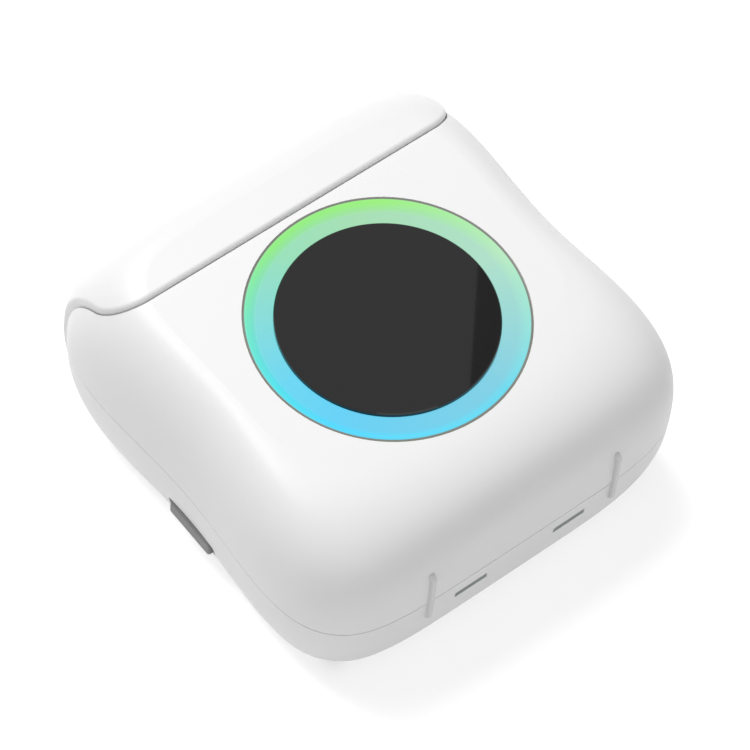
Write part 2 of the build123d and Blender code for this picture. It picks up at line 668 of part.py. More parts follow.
def key_face(end_gap, side_gap):
    """The key's outline, grown by the two gaps."""
    length, height = KEY_LENGTH + 2 * end_gap, KEY_HEIGHT + 2 * side_gap
    return RectangleRounded(length, height, KEY_CORNER_RADIUS + side_gap)


def paper_cover():
    """The white cover over the roll bay, with the hinge barrel along its foot."""
    front = COVER_FRONT_Y
    inset = COVER_PROUD - WALL
    roof = upper_form(COVER_PROUD, BODY_HEIGHT + COVER_PROUD) & cover_plan(0, SEAM_HEIGHT, BAR)
    lip_end = front + COVER_CORNER_RADIUS / 2
    lip = [e for e in roof.edges() if e.center().Z > HEAD_TOP and e.center().Y < lip_end]
    roof = fillet(lip, COVER_LIP_RADIUS) - upper_form(inset, BODY_HEIGHT + inset)
    wall = (lower_form(COVER_PROUD, 0) & cover_plan(0, HINGE_Z, BAR)) - lower_form(inset, 0)
    shell = roof + wall
    seat_y = front + TEAR_THICKNESS
    shell += block(-FLANGE_HALF, FLANGE_HALF, front, seat_y + FLANGE_WALL, FLANGE_BOTTOM, BODY_HEIGHT)
    shell -= block(-FLANGE_HALF, FLANGE_HALF, front - 1, seat_y, 0, TEAR_TOP)
    for x in CARRIER_SCREWS:
        pad = post(x, CARRIER_SCREW_Y, CARRIER_TOP, BODY_HEIGHT, SMALL_BOSS_RADIUS)
        shell += pad
        shell -= post(x, CARRIER_SCREW_Y, CARRIER_TOP - 1, BODY_HEIGHT - SCREW_SKIN, SCREW_RADIUS)
    shell += rod(-HINGE_BARREL_HALF, HINGE_BARREL_HALF, HINGE_Y, HINGE_Z, HINGE_BARREL_RADIUS)
    bore_start = HINGE_BARREL_HALF - HINGE_PIN_DEPTH - HINGE_LUG_GAP
    bore = rod(bore_start, BAR, HINGE_Y, HINGE_Z, HINGE_PIN_RADIUS + RUNNING_CLEARANCE)
    x0 = HINGE_BARREL_HALF
    x1 = x0 + HINGE_LUG_WIDTH + 2 * HINGE_LUG_GAP
    bore += rod(x0, x1, HINGE_Y, HINGE_Z, HINGE_LUG_RADIUS + COVER_GAP)
    for each in both_sides(bore):
        shell -= each
    return shell


def hinge_pins():
    """Two pins pressed into the ears and turning in the barrel."""
    start = HINGE_BARREL_HALF - HINGE_PIN_DEPTH
    end = HINGE_BARREL_HALF + HINGE_LUG_GAP + HINGE_LUG_WIDTH
    return both_sides(rod(start, end, HINGE_Y, HINGE_Z, HINGE_PIN_RADIUS))


def tear_strip():
    """A thin steel strip with a toothed upper edge, let into the front of the cover's flange."""
    count = int(2 * (FLANGE_HALF - TEAR_END) / TEAR_PITCH)
    half = count * TEAR_PITCH / 2
    points = [(-half, FLANGE_BOTTOM), (-half, TEAR_TOP)]
    for i in range(count):
        x = -half + i * TEAR_PITCH
        points.append((x + TEAR_PITCH / 2, TEAR_TOP - TEAR_DEPTH))
        points.append((x + TEAR_PITCH, TEAR_TOP))
    points.append((half, FLANGE_BOTTOM))
    face = Plane.XZ.offset(-COVER_FRONT_Y) * make_face(Polyline(*points, close=True))
    return extrude(face, amount=-TEAR_THICKNESS)


def platen_carrier():
    """A bracket on the underside of the cover whose arms hold the platen bushes."""
    outer = CARRIER_X + CARRIER_WALL
    carrier = block(-outer, outer, CARRIER_FRONT_Y, CARRIER_BACK_Y, FLANGE_BOTTOM, CARRIER_TOP)
    for x in CARRIER_SCREWS:
        carrier -= post(x, CARRIER_SCREW_Y, 0, BAR, SCREW_RADIUS)
    reach = BUSH_RADIUS + CARRIER_ARM
    top_points = [(PLATEN_Y + 2 * reach, CARRIER_TOP), (CARRIER_FRONT_Y, CARRIER_TOP)]
    side = [(PLATEN_Y - reach, PLATEN_Z), (PLATEN_Y + reach, PLATEN_Z)] + top_points
    profile = make_face(Polyline(*side, close=True)) + Pos(*PLATEN_AT) * Circle(reach)
    arm = across(CARRIER_X, outer, profile - Pos(*PLATEN_AT) * Circle(BUSH_RADIUS))
    for each in both_sides(arm):
        carrier += each
    inset = COVER_PROUD - WALL - CARRIER_ROOF_GAP
    return carrier & upper_form(inset, BODY_HEIGHT + inset)


def platen_bushes():
    """Two plain bushes, held by the carrier, that seat in the chassis when the cover is shut."""
    bush = rod(PLATE_INNER - BUSH_STEP, CARRIER_X + CARRIER_WALL, *PLATEN_AT, BUSH_RADIUS)
    bush -= rod(0, BAR, *PLATEN_AT, PLATEN_SHAFT_RADIUS + RUNNING_CLEARANCE)
    return both_sides(bush)


def platen_shaft():
    start = -CARRIER_X - CARRIER_WALL - SHAFT_END
    return rod(start, GEAR_END_X + SHAFT_END, *PLATEN_AT, PLATEN_SHAFT_RADIUS)


def platen_sleeve():
    half = ROLL_WIDTH / 2
    return rod(-half, half, *PLATEN_AT, PLATEN_RADIUS) - rod(-BAR, BAR, *PLATEN_AT, PLATEN_SHAFT_RADIUS)


def platen_gear():
    wheel = gear(OUTER_GEAR_X, OUTER_GEAR_WIDTH, PLATEN_AT, PLATEN_TEETH, PLATEN_PHASE)
    return wheel - rod(-BAR, BAR, *PLATEN_AT, PLATEN_SHAFT_RADIUS)


def idler_gear():
    wheel = gear(OUTER_GEAR_X, OUTER_GEAR_WIDTH, IDLER_AT, IDLER_TEETH, IDLER_PHASE)
    return wheel - rod(-BAR, BAR, *IDLER_AT, AXLE_RADIUS + AXLE_CLEARANCE)


def reduction_gear():
    """A large and a small gear in one moulding."""
    wheel = gear(OUTER_GEAR_X, OUTER_GEAR_WIDTH, REDUCER_AT, REDUCER_SMALL_TEETH, REDUCER_PHASE)
    wheel += gear(INNER_GEAR_X, INNER_GEAR_WIDTH, REDUCER_AT, REDUCER_LARGE_TEETH, REDUCER_PHASE)
    hub_radius = pitch_radius(REDUCER_SMALL_TEETH) - DEDENDUM * GEAR_MODULE
    wheel += rod(INNER_GEAR_X, GEAR_END_X, *REDUCER_AT, hub_radius)
    return wheel - rod(-BAR, BAR, *REDUCER_AT, AXLE_RADIUS + AXLE_CLEARANCE)


def gear_axle(centre):
    """A pin pressed into the side plate that a gear turns on."""
    return rod(PLATE_INNER, GEAR_END_X + AXLE_END, *centre, AXLE_RADIUS)


def axle_clips():
    """A washer that keeps each gear on its axle."""
    x0 = GEAR_END_X + CLIP_GAP
    ring = Circle(2 * AXLE_RADIUS) - Circle(AXLE_RADIUS)
    return [across(x0, x0 + CLIP_THICKNESS, Pos(*centre) * ring) for centre in (IDLER_AT, REDUCER_AT)]


def motor_body():
    """The stepper's can and its two-eared mounting flange."""
    y, z = MOTOR_AT
    can = rod(PLATE_INNER - MOTOR_LENGTH, PLATE_INNER, y, z, MOTOR_RADIUS)
    ears = [Pos(y + side * MOTOR_EAR_REACH, z) * Circle(MOTOR_EAR_RADIUS) for side in (-1, 1)]
    bar = Pos(y, z) * Rectangle(2 * MOTOR_EAR_REACH, 2 * MOTOR_EAR_RADIUS)
    can += across(PLATE_INNER - MOTOR_FLANGE, PLATE_INNER, bar + ears[0] + ears[1])
    can += rod(PLATE_INNER, PLATE_INNER + MOTOR_COLLAR_HEIGHT, y, z, MOTOR_COLLAR_RADIUS)
    can -= rod(PLATE_INNER - MOTOR_LENGTH / 2, BAR, y, z, MOTOR_SHAFT_RADIUS + AXLE_CLEARANCE)
    for side in (-1, 1):
        can -= rod(PLATE_INNER - MOTOR_FLANGE - 1, BAR, y + side * MOTOR_EAR_REACH, z, SCREW_RADIUS)
    return can


def motor_shaft():
    start = PLATE_INNER - MOTOR_LENGTH / 2 + MOTOR_SHAFT_FREE
    return rod(start, INNER_GEAR_X + INNER_GEAR_WIDTH, *MOTOR_AT, MOTOR_SHAFT_RADIUS)


def motor_pinion():
    wheel = gear(INNER_GEAR_X, INNER_GEAR_WIDTH, MOTOR_AT, PINION_TEETH, PINION_PHASE)
    return wheel - rod(-BAR, BAR, *MOTOR_AT, MOTOR_SHAFT_RADIUS)


def notch():
    """The open-ended seat that a platen bush drops into, flared along the way out."""
    radius = BUSH_RADIUS + NOTCH_CLEARANCE
    side_y, side_z = -ESCAPE_Z, ESCAPE_Y
    far_y, far_z = PLATEN_Y + NOTCH_REACH * ESCAPE_Y, PLATEN_Z + NOTCH_REACH * ESCAPE_Z
    wide = radius + NOTCH_FLARE
    points = [(PLATEN_Y + radius * side_y, PLATEN_Z + radius * side_z)]
    points.append((PLATEN_Y - radius * side_y, PLATEN_Z - radius * side_z))
    points.append((far_y - wide * side_y, far_z - wide * side_z))
    points.append((far_y + wide * side_y, far_z + wide * side_z))
    return make_face(Polyline(*points, close=True)) + Pos(*PLATEN_AT) * Circle(radius)


def side_plate(with_motor):
    """Side view of a chassis side plate."""
    bottom = ROLL_Z - ROLL_RADIUS - BAY_DEPTH
    shoulder_z = FLANGE_BOTTOM - NOTCH_CLEARANCE
    shoulder_y = CARRIER_FRONT_Y - CARRIER_ARM
    back = ROLL_Y + ROLL_RADIUS
    rear = back + PLATE_SLOPE
    points = [(BAY_FRONT_Y, bottom), (back, bottom), (rear, bottom + PLATE_FOOT), (rear, shoulder_z)]
    points += [(shoulder_y, shoulder_z), (shoulder_y, HEAD_TOP), (SPRING_WALL_Y, HEAD_TOP)]
    if with_motor:
        front = MOTOR_AT[0] - MOTOR_EAR_REACH - MOTOR_EAR_RADIUS
        top, low = MOTOR_AT[1] + MOTOR_RADIUS, MOTOR_AT[1] - MOTOR_RADIUS
        points += [(SPRING_WALL_Y, top), (front, top), (front, low), (BAY_FRONT_Y, low)]
    else:
        points += [(SPRING_WALL_Y, HEAD_TOP - PLATE_STEP), (BAY_FRONT_Y, ROLL_Z + ROLL_RADIUS)]
    face = make_face(Polyline(*points, close=True)) - notch()
    face -= Pos(HEAD_PIVOT_Y, HEAD_PIVOT_Z) * Circle(HEAD_PIN_RADIUS + HEAD_PIN_CLEARANCE)
    if with_motor:
        for centre in (IDLER_AT, REDUCER_AT):
            face -= Pos(*centre) * Circle(AXLE_RADIUS)
        face -= Pos(*MOTOR_AT) * Circle(MOTOR_COLLAR_RADIUS)
        for side in (-1, 1):
            face -= Pos(MOTOR_AT[0] + side * MOTOR_EAR_REACH, MOTOR_AT[1]) * Circle(SCREW_RADIUS)
    return face


def bay_trough():
    """Side view of the trough that the roll lies in."""
    inner = ROLL_RADIUS + BAY_CLEARANCE
    outer = inner + BAY_WALL
    ring = Circle(outer) - Circle(inner)
    steps = 6
    fan = [(0, 0)]
    for k in range(steps + 1):
        fan.append(step_from((0, 0), 2 * outer, BAY_ARC_START + (BAY_ARC_END - BAY_ARC_START) * k / steps))
    return Pos(ROLL_Y, ROLL_Z) * (ring & make_face(Polyline(*fan, close=True)))


def chassis():
    """The moulded frame that carries the roll, the head, the gears, the motor and the battery."""
    frame = across(-PLATE_OUTER, -PLATE_INNER, side_plate(False))
    frame += across(PLATE_INNER, PLATE_OUTER, side_plate(True))
    frame += across(-PLATE_INNER, PLATE_INNER, bay_trough())
    frame += spring_wall()
    frame += block(-SHELF_HALF, SHELF_HALF, BATTERY_FRONT_Y + 1, SHELF_BACK_Y, SHELF_Z, SHELF_TOP)
    lip_y, lip_z = SHELF_BACK_Y - SHELF_THICKNESS, SHELF_TOP + SHELF_LIP
    frame += block(-SHELF_HALF, SHELF_HALF, lip_y, SHELF_BACK_Y, SHELF_TOP, lip_z)
    for each in both_sides(chassis_tabs()):
        frame += each
    return frame - sensor_block()


def spring_wall():
    """The wall behind the head, with a slot for the head's flat cable."""
    far_y = SPRING_WALL_Y + SPRING_WALL
    wall = block(-PLATE_INNER, PLATE_INNER, SPRING_WALL_Y, far_y, SPRING_WALL_BOTTOM, HEAD_TOP)
    half = FLEX_WIDTH / 2 + FLEX_SLOT_GAP
    return wall - block(-half, half, 0, BAR, FLEX_Z - FLEX_SLOT_HALF, FLEX_Z + FLEX_SLOT_HALF)


def chassis_tabs():
    """The screw tabs, the ties to the bay and the battery's end stops on one side."""
    front_x, front_y = CHASSIS_FRONT_SCREW
    back_x, back_y = CHASSIS_BACK_SCREW
    wide = SMALL_BOSS_RADIUS + FIT_GAP
    tie = CHASSIS_TIE
    tie_y = BAY_FRONT_Y + CHASSIS_TIE_END
    edge_y = front_y - SMALL_BOSS_RADIUS
    tabs = block(front_x - tie, front_x + tie, edge_y, BATTERY_FRONT_Y + 1, SHELF_Z, SHELF_TOP)
    tabs += block(SHELF_HALF - tie, SHELF_HALF, SHELF_BACK_Y, tie_y, SHELF_Z, SHELF_TOP)
    tabs += block(PLATE_INNER, back_x + SMALL_BOSS_RADIUS, back_y - wide, back_y + wide, BOARD_Z, BOARD_TOP)
    for x, y in (CHASSIS_FRONT_SCREW, CHASSIS_BACK_SCREW):
        tabs -= post(x, y, 0, BAR, SCREW_RADIUS)
    inner, start = SHELF_HALF - SHELF_THICKNESS, SHELF_BACK_Y - SHELF_LIP_LENGTH
    return tabs + block(inner, SHELF_HALF, start, SHELF_BACK_Y, SHELF_TOP, SHELF_TOP + SHELF_LIP)


def sensor_block():
    """The paper sensor, let into the back of the trough."""
    half, high = SENSOR_WIDTH / 2, SENSOR_HEIGHT / 2
    front, back = BAY_FRONT_Y - SENSOR_STEP, BAY_FRONT_Y + BAY_WALL
    return block(SENSOR_X - half, SENSOR_X + half, front, back, ROLL_Z - high, ROLL_Z + high)


def head_plate():
    """The aluminium plate that backs the print head."""
    half = ROLL_WIDTH / 2 - HEAD_PLATE_INSET
    front, bottom = HEAD_BACK_Y + HEAD_PLATE_THICKNESS, HEAD_TOP - HEAD_PLATE_HEIGHT
    plate = block(-half, half, HEAD_BACK_Y, front, bottom, HEAD_TOP)
    return plate - rod(-BAR, BAR, HEAD_PIVOT_Y, HEAD_PIVOT_Z, HEAD_PIN_RADIUS)


def head_ceramic():
    """The glazed ceramic strip that heats the paper."""
    half = ROLL_WIDTH / 2 - CERAMIC_INSET
    bottom = PLATEN_Z - CERAMIC_HEIGHT / 2
    return block(-half, half, HEAD_FACE_Y - CERAMIC_THICKNESS, HEAD_FACE_Y, bottom, bottom + CERAMIC_HEIGHT)


def head_pivot_pin():
    """The thin rod through the head's upper edge that it rocks on."""
    return rod(-PLATE_OUTER, PLATE_OUTER, HEAD_PIVOT_Y, HEAD_PIVOT_Z, HEAD_PIN_RADIUS)


def head_springs():
    """Two small coil springs between the chassis wall and the head."""
    start = SPRING_WALL_Y + SPRING_WALL
    end = HEAD_BACK_Y - SPRING_GAP
    height = end - start - 2 * SPRING_WIRE
    coils = []
    for side in (-1, 1):
        path = Helix(SPRING_PITCH, height, SPRING_RADIUS)
        wire = sweep(Plane(origin=path @ 0, z_dir=path % 0) * Circle(SPRING_WIRE), path=path)
        coils.append(facing(side * SPRING_X, start + SPRING_WIRE, PLATEN_Z, (0, 1, 0)) * wire)
    return coils


def head_flex():
    """The flat cable from the head over the bay and down to the main board."""
    start = HEAD_BACK_Y - SPRING_GAP
    bottom = PLUG_TOP
    half = FLEX_THICKNESS / 2
    lines = []
    for sign in (-1, 1):
        corner = (FLEX_Y - sign * half, FLEX_Z + sign * half)
        bend = FLEX_BEND + sign * half
        points = [(start, corner[1]), corner, (corner[0], bottom)]
        lines.append(FilletPolyline(*points, radius=bend))
    ends = [Line(lines[0] @ t, lines[1] @ t) for t in (0, 1)]
    return across(-FLEX_WIDTH / 2, FLEX_WIDTH / 2, make_face([*lines[0].edges(), *lines[1].edges(), *ends]))


def paper_roll():
    half = ROLL_WIDTH / 2
    return rod(-half, half, ROLL_Y, ROLL_Z, ROLL_RADIUS) - rod(-BAR, BAR, ROLL_Y, ROLL_Z, CORE_RADIUS)


def paper_core():
    half = ROLL_WIDTH / 2
    bore = rod(-BAR, BAR, ROLL_Y, ROLL_Z, CORE_RADIUS - CORE_WALL)
    return rod(-half, half, ROLL_Y, ROLL_Z, CORE_RADIUS) - bore


def light_ring():
    """The dished diffuser round the window, with a seat for the window and posts for its board."""
    rim = RING_RADIUS - RING_RIM
    dish = BODY_HEIGHT - RING_DISH_DEPTH
    seat = BODY_HEIGHT - WINDOW_THICKNESS
    bottom = BODY_HEIGHT - WALL - RING_FLANGE_THICKNESS
    flange_top = bottom + RING_FLANGE_THICKNESS
    inner = WINDOW_RADIUS + WINDOW_GAP
    points = [(0, bottom), (RING_FLANGE_RADIUS, bottom), (RING_FLANGE_RADIUS, flange_top)]
    points += [(RING_RADIUS, flange_top), (RING_RADIUS, BODY_HEIGHT - RING_EDGE_DROP), (rim, BODY_HEIGHT)]
    points += [(rim - RING_RIM_FLAT, BODY_HEIGHT), (rim - RING_SLOPE_WIDTH, dish)]
    points += [(inner, dish + RING_DISH_RISE), (inner, seat), (0, seat)]
    profile = make_face(Polyline(*points, close=True))
    ring = Pos(0, RING_Y, 0) * revolve(Plane.XZ * profile, axis=Axis.Z)
    for x, y in ring_posts():
        ring += post(x, y, LIGHT_BOARD_TOP, bottom, RING_POST_RADIUS)
        ring -= post(x, y, LIGHT_BOARD_TOP - 1, bottom - RING_POST_BORE, SCREW_RADIUS)
    return ring


def ring_posts():
    """Places of the posts that hold the light board."""
    reach = WINDOW_RADIUS - RING_POST_INSET
    return [step_from((0, RING_Y), reach, degrees) for degrees in RING_POST_ANGLES]


def window_disc():
    """The black glossy window inside the ring."""
    disc = post(0, RING_Y, BODY_HEIGHT - WINDOW_THICKNESS, BODY_HEIGHT, WINDOW_RADIUS)
    return chamfer(disc.edges().group_by(Axis.Z)[-1], WINDOW_CHAMFER)


def light_board():
    """A round board cut straight on the cover's side."""
    top = LIGHT_BOARD_TOP
    board = post(0, RING_Y, top - LIGHT_BOARD_THICKNESS, top, RING_RADIUS - LIGHT_BOARD_INSET)
    board -= block(-BAR, BAR, SPRING_WALL_Y - LIGHT_BOARD_ROOM, BAR, 0, BAR)
    for x, y in ring_posts():
        board -= post(x, y, 0, BAR, SCREW_RADIUS)
    return board


def light_lamps():
    """Small square lamps in an arc under the ring."""
    lamps = []
    lamp = Box(LAMP_SIZE, LAMP_SIZE, LAMP_HEIGHT)
    for k in range(LAMP_COUNT):
        degrees = LAMP_ARC_START + (LAMP_ARC_END - LAMP_ARC_START) * k / (LAMP_COUNT - 1)
        x, y = step_from((0, RING_Y), WINDOW_RADIUS + LAMP_OFFSET, degrees)
        lamps.append(Pos(x, y, LIGHT_BOARD_TOP + LAMP_HEIGHT / 2) * Rot(0, 0, degrees) * lamp)
    return lamps


def lead(points, bend):
    """One insulated wire along straight runs joined by arcs."""
    path = FilletPolyline(*points, radius=bend)
    return sweep(Plane(origin=path @ 0, z_dir=path % 0) * Circle(LEAD_RADIUS), path=path)


def light_lead():
    """Three wires from the light board down to the main board."""
    wires = []
    for k in range(3):
        x, y = LIGHT_LEAD_X + (k - 1) * LEAD_PITCH, LIGHT_LEAD_Y
        plug_y = y + LIGHT_LEAD_STEP
        top = LIGHT_BOARD_TOP - LIGHT_BOARD_THICKNESS
        upper, lower = top - LIGHT_LEAD_DROP, top - 2 * LIGHT_LEAD_DROP
        points = [(x, y, top), (x, y, upper), (x, plug_y, lower), (x, plug_y, PLUG_TOP)]
        wires.append(lead(points, LIGHT_LEAD_BEND))
    return wires


def motor_lead():
    """Four wires from the back of the motor down to the main board."""
    wires = []
    back = PLATE_INNER - MOTOR_LENGTH
    for k in range(4):
        y = MOTOR_AT[0] + (k - 1.5) * LEAD_PITCH
        z = MOTOR_AT[1] - MOTOR_LEAD_DROP
        points = [(back, y, z), (back - LEAD_STEP, y, z), (back - LEAD_STEP, y, PLUG_TOP)]
        wires.append(lead(points, LEAD_BEND))
    return wires


def battery_lead():
    """Two wires from the end of the battery down to the main board."""
    wires = []
    end = BATTERY_LENGTH / 2
    for k in range(2):
        y = BATTERY_LEAD_Y + (k - 0.5) * BATTERY_LEAD_PITCH
        z = SHELF_TOP + BATTERY_LEAD_RISE
        points = [(end, y, z), (end + LEAD_STEP, y, z), (end + LEAD_STEP, y, PLUG_TOP)]
        wires.append(lead(points, LEAD_BEND))
    return wires


def main_board():
    """The main circuit board, cut round its screws."""
    board = block(-BOARD_HALF, BOARD_HALF, BOARD_FRONT_Y, BOARD_BACK_Y, BOARD_Z, BOARD_TOP)
    for x, y in BOARD_SCREWS:
        board -= post(x, y, 0, BAR, SCREW_RADIUS)
        board -= post(-x, y, 0, BAR, SCREW_RADIUS)
    return board


def board_block(x, y, length, width, height):
    """A square part standing on the main board."""
    return block(x - length / 2, x + length / 2, y - width / 2, y + width / 2, BOARD_TOP, BOARD_TOP + height)


def board_connectors():
    """Headers for the head, the motor, the lights and the battery."""
    motor_x = PLATE_INNER - MOTOR_LENGTH - LEAD_STEP
    places = [(0, FLEX_Y, *FLEX_CONNECTOR)]
    places.append((motor_x, MOTOR_AT[0], *MOTOR_CONNECTOR))
    places.append((LIGHT_LEAD_X, LIGHT_LEAD_Y + LIGHT_LEAD_STEP, *LIGHT_CONNECTOR))
    places.append((BATTERY_LENGTH / 2 + LEAD_STEP, BATTERY_LEAD_Y, *BATTERY_CONNECTOR))
    return [board_block(*place, CONNECTOR_HEIGHT) for place in places]


def charging_socket():
    """A thin metal shell, open outwards, with a tongue inside."""
    end = OUTER_WALL_X - SOCKET_INSET
    start = end - SOCKET_LENGTH
    middle = Pos(SOCKET_Y, SOCKET_Z)
    radius = SOCKET_HEIGHT / 2 - CORNER_EASE
    outer = middle * RectangleRounded(SOCKET_WIDTH, SOCKET_HEIGHT, radius)
    inner_size = (SOCKET_WIDTH - 2 * SOCKET_SHELL, SOCKET_HEIGHT - 2 * SOCKET_SHELL)
    inner = middle * RectangleRounded(*inner_size, radius - SOCKET_SHELL)
    tongue = middle * Rectangle(2 * SOCKET_TONGUE_HALF, SOCKET_TONGUE_THICKNESS)
    socket = across(start, end, outer) - across(start + SOCKET_BACK, end + 1, inner)
    return socket + across(start, end - SOCKET_TONGUE_INSET, tongue)


def power_key():
    """The grey key in the side wall, with a flange inside and a stem to the switch."""
    outer = OUTER_WALL_X + KEY_PROUD
    flange = INNER_WALL_X - KEY_FLANGE_GAP
    middle = Pos(KEY_Y, KEY_Z)
    cap = across(-outer, -flange, middle * key_face(0, 0))
    cap = fillet(cap.faces().sort_by(Axis.X)[0].edges(), KEY_EDGE_RADIUS)
    rim = key_face(KEY_END_GAP + KEY_FLANGE_RIM, KEY_CLEARANCE + KEY_FLANGE_RIM)
    cap += across(-flange, -flange + KEY_FLANGE, middle * rim)
    return cap + rod(-flange, PLUNGER_END_X, KEY_Y, KEY_Z, KEY_STEM_RADIUS)


def switch_plunger():
    """The plunger that the key's stem presses into the switch."""
    return rod(PLUNGER_END_X, -BOARD_HALF + PLUNGER_DEPTH, KEY_Y, KEY_Z, PLUNGER_RADIUS)


def key_switch():
    """The push switch on the edge of the board."""
    edge, half = -BOARD_HALF + SWITCH_INSET, SWITCH_SIZE / 2
    body = block(edge, edge + SWITCH_SIZE, KEY_Y - half, KEY_Y + half, BOARD_TOP, BOARD_TOP + SWITCH_SIZE)
    depth = -BOARD_HALF + PLUNGER_DEPTH + KEY_TRAVEL + 2 * PLUNGER_GAP
    return body - rod(-BAR, depth, KEY_Y, KEY_Z, PLUNGER_RADIUS + AXLE_CLEARANCE)


def battery_pouch():
    """A flat cell with a folded end."""
    half = BATTERY_LENGTH / 2
    y0, y1 = BATTERY_FRONT_Y, BATTERY_FRONT_Y + BATTERY_WIDTH
    z0 = SHELF_TOP + BATTERY_PAD
    cell = block(-half, half - BATTERY_FOLD, y0, y1, z0, z0 + BATTERY_HEIGHT)
    cell = fillet(cell.edges().filter_by(Axis.X), BATTERY_EDGE_RADIUS)
    inset = BATTERY_FOLD_INSET
    bottom, top = z0 + BATTERY_FOLD_BOTTOM, z0 + BATTERY_FOLD_TOP
    return cell + block(half - BATTERY_FOLD, half, y0 + inset, y1 - inset, bottom, top)


def battery_pad():
    """The foam tape under the battery."""
    half = BATTERY_LENGTH / 2 - BATTERY_PAD_INSET
    y0, y1 = BATTERY_FRONT_Y + BATTERY_PAD_INSET, BATTERY_FRONT_Y + BATTERY_WIDTH - BATTERY_PAD_INSET
    return block(-half, half, y0, y1, SHELF_TOP, SHELF_TOP + BATTERY_PAD)


def wireless_module():
    """A small radio board with a metal can."""
    x, y = WIRELESS_AT
    can = board_block(x, y - WIRELESS_CAN_SHIFT, *WIRELESS_CAN)
    return board_block(x, y, *WIRELESS_BOARD) + Pos(0, 0, WIRELESS_BOARD[2]) * can


def board_capacitors():
    top = BOARD_TOP + CAPACITOR_HEIGHT
    return [post(x, y, BOARD_TOP, top, CAPACITOR_RADIUS) for x, y in CAPACITORS]


def screws_down(places, z, length):
    """Screws put in from above, on both sides."""
    made = []
    for x, y in places:
        for side in (-1, 1):
            made.append(screw(facing(side * x, y, z, (0, 0, 1)), length))
    return made


def case_screws():
    made = []
    length = SEAM_HEIGHT - CASE_HEAD_DEPTH + CASE_SCREW_GRIP
    for x, y, rise in CASE_BOSSES:
        for side in (-1, 1):
            made.append(screw(facing(side * x, y, CASE_HEAD_DEPTH, (0, 0, -1)), length))
    return made


def chassis_screws():
    front = screws_down([CHASSIS_FRONT_SCREW], SHELF_TOP, CHASSIS_FRONT_LENGTH)
    return front + screws_down([CHASSIS_BACK_SCREW], BOARD_TOP, CHASSIS_BACK_LENGTH)


def light_board_screws():
    z = LIGHT_BOARD_TOP - LIGHT_BOARD_THICKNESS
    length = LIGHT_BOARD_THICKNESS + LIGHT_SCREW_GRIP
    return [screw(facing(x, y, z, (0, 0, -1)), length) for x, y in ring_posts()]


def carrier_screws():
    length = SHELF_THICKNESS + CARRIER_SCREW_GRIP
    return [screw(facing(x, CARRIER_SCREW_Y, FLANGE_BOTTOM, (0, 0, -1)), length) for x in CARRIER_SCREWS]


def motor_screws():
    x, length = PLATE_INNER - MOTOR_FLANGE, MOTOR_FLANGE + PLATE_WALL
    ears = [MOTOR_AT[0] - MOTOR_EAR_REACH, MOTOR_AT[0] + MOTOR_EAR_REACH]
    return [screw(facing(x, y, MOTOR_AT[1], (-1, 0, 0)), length) for y in ears]


def save(name, parts):
    """Write one sub-part, which may be several separate solids."""
    if isinstance(parts, list):
        parts = Compound(children=[solid for part in parts for solid in part.solids()])
    export_step(parts, f"parts/{name}.step")


feet = standing_feet()
save("upper_shell", upper_shell(feet))
save("base_shell", base_shell(feet))
save("paper_cover", paper_cover())
save("hinge_pins", hinge_pins())
save("tear_strip", tear_strip())
save("platen_carrier", platen_carrier())
save("carrier_screws", carrier_screws())
save("platen_bushes", platen_bushes())
save("platen_shaft", platen_shaft())
save("platen_sleeve", platen_sleeve())
save("platen_gear", platen_gear())
save("idler_gear", idler_gear())
save("idler_axle", gear_axle(IDLER_AT))
save("reduction_gear", reduction_gear())
save("reduction_axle", gear_axle(REDUCER_AT))
save("axle_clips", axle_clips())
save("motor_body", motor_body())
save("motor_shaft", motor_shaft())
save("motor_pinion", motor_pinion())
save("motor_screws", motor_screws())
save("motor_lead", motor_lead())
save("chassis", chassis())
save("chassis_screws", chassis_screws())
save("paper_sensor", sensor_block())
save("head_plate", head_plate())
save("head_ceramic", head_ceramic())
save("head_pivot_pin", head_pivot_pin())
save("head_springs", head_springs())
save("head_flex", head_flex())
save("paper_roll", paper_roll())
save("paper_core", paper_core())
save("light_ring", light_ring())
save("window_disc", window_disc())
save("light_board", light_board())
save("light_lamps", light_lamps())
save("light_board_screws", light_board_screws())
save("light_lead", light_lead())
save("main_board", main_board())
save("main_board_screws", screws_down(BOARD_SCREWS, BOARD_TOP, BOARD_SCREW_LENGTH))
save("controller_chip", board_block(*CONTROLLER_AT, CONTROLLER_SIZE, CONTROLLER_SIZE, CONTROLLER_HEIGHT))
save("wireless_module", wireless_module())
save("board_capacitors", board_capacitors())
save("board_connectors", board_connectors())
save("charging_socket", charging_socket())
save("key_switch", key_switch())
save("switch_plunger", switch_plunger())
save("power_key", power_key())
save("battery_pouch", battery_pouch())
save("battery_pad", battery_pad())
save("battery_lead", battery_lead())
save("case_screws", case_screws())
save("standing_foot_right", feet[0])
save("standing_foot_left", feet[1])
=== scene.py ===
import bpy
import math
from mathutils import Matrix, Vector


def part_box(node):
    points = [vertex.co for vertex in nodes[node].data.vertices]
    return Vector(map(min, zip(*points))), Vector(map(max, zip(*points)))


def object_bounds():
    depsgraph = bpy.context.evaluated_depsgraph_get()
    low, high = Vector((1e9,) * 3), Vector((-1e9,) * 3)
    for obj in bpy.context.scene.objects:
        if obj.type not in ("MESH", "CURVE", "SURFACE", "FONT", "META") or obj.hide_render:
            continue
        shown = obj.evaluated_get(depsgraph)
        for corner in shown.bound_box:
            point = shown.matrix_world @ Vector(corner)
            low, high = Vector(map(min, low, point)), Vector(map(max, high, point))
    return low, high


# A mini sticker printer on a white table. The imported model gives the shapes, and this script gives their
# materials, the floor, the light and the camera. Metres, +Z up; the cover is at the +Y end.

